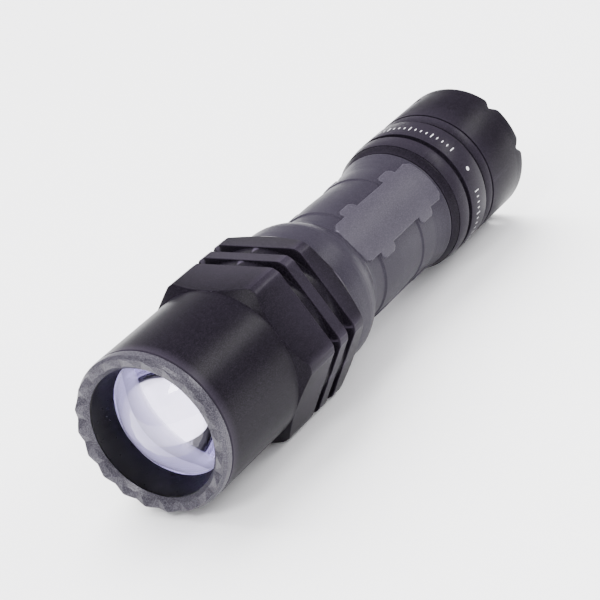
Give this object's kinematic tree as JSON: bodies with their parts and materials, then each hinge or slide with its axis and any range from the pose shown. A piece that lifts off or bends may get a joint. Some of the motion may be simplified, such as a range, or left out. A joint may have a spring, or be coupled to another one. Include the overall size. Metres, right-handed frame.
{
  "type": "tactical flashlight",
  "caption": "Zoom torch with a strike bezel, sliding black hex head, grey paneled grip and a screw-off tail cap with a recessed button.",
  "frame": {"origin": "centre of the whole torch's bounding box, on the optical axis", "axes": "+X along the optical axis towards the beam, +Z through the middle of the hexagon's upper flat, +Y to the left seen from behind"},
  "size_m": [0.1366, 0.0396, 0.0352],
  "materials": {
    "grey_anodised": "satin hard-anodised aluminium, fine turning marks",
    "black_anodised": "satin black anodised aluminium",
    "glass": "polished aspheric lens",
    "black_plastic": "matt black moulding",
    "rubber": "matt black rubber",
    "spring_steel": "bright wire and strip",
    "raw_aluminium": "bare turned metal",
    "board": "white metal-core board",
    "green_board": "green circuit board",
    "emitter": "silicone dome over yellow phosphor",
    "brass": "bright brass",
    "cell_wrap": "printed film sleeve, no lettering"
  },
  "bodies": {
    "body": {"grip_body": "grey_anodised", "slide_seal_front": "rubber", "slide_seal_rear": "rubber", "stop_clip": "spring_steel", "led_pill": "raw_aluminium", "led_board": "board", "led_holder": "black_plastic", "led_emitter": "emitter", "driver_board": "green_board", "driver_contact": "brass", "cartridge_front_plate": "black_plastic", "cartridge_rear_plate": "black_plastic", "cartridge_post": "black_plastic", "cartridge_rib_1": "black_plastic", "cartridge_rib_2": "black_plastic", "cartridge_rib_3": "black_plastic", "cartridge_contact": "brass", "cell_1": "cell_wrap", "cell_2": "cell_wrap", "cell_3": "cell_wrap", "cell_spring_1": "spring_steel", "cell_spring_2": "spring_steel", "cell_spring_3": "spring_steel"},
    "head": {"bezel_ring": "grey_anodised", "head_sleeve": "black_anodised", "lens": "glass", "lens_retainer": "black_plastic", "lens_gasket": "rubber"},
    "cap_carrier": {"cap_seal": "rubber"},
    "cap": {"tail_cap": "black_anodised", "boot_skirt": "rubber", "switch_housing": "black_plastic", "switch_spring": "spring_steel", "switch_board": "green_board", "switch_clamp_ring": "brass", "tail_contact_spring": "brass"},
    "button": {"switch_plunger": "black_plastic", "boot_dome": "rubber"}
  },
  "joints": [
    {"name": "head_slide", "type": "slide", "parent": "body", "child": "head", "axis": [1, 0, 0], "range_m": [0, 0.008]},
    {"name": "cap_travel", "type": "slide", "parent": "body", "child": "cap_carrier", "axis": [-1, 0, 0], "range_m": [0, 0.0075]},
    {"name": "cap_turn", "type": "hinge", "parent": "cap_carrier", "child": "cap", "pos_m": [-0.05, 0, 0], "axis": [-1, 0, 0], "range_deg": [0, 1800]},
    {"name": "button_press", "type": "slide", "parent": "cap", "child": "button", "axis": [1, 0, 0], "range_m": [0, 0.002], "stiffness_N_per_m": 800, "springref_m": -0.001, "deforming": ["switch_spring"]}
  ],
  "couplings": [
    {"joint": "cap_travel", "follows": "cap_turn", "m_per_rad": 0.00023873}
  ]
}
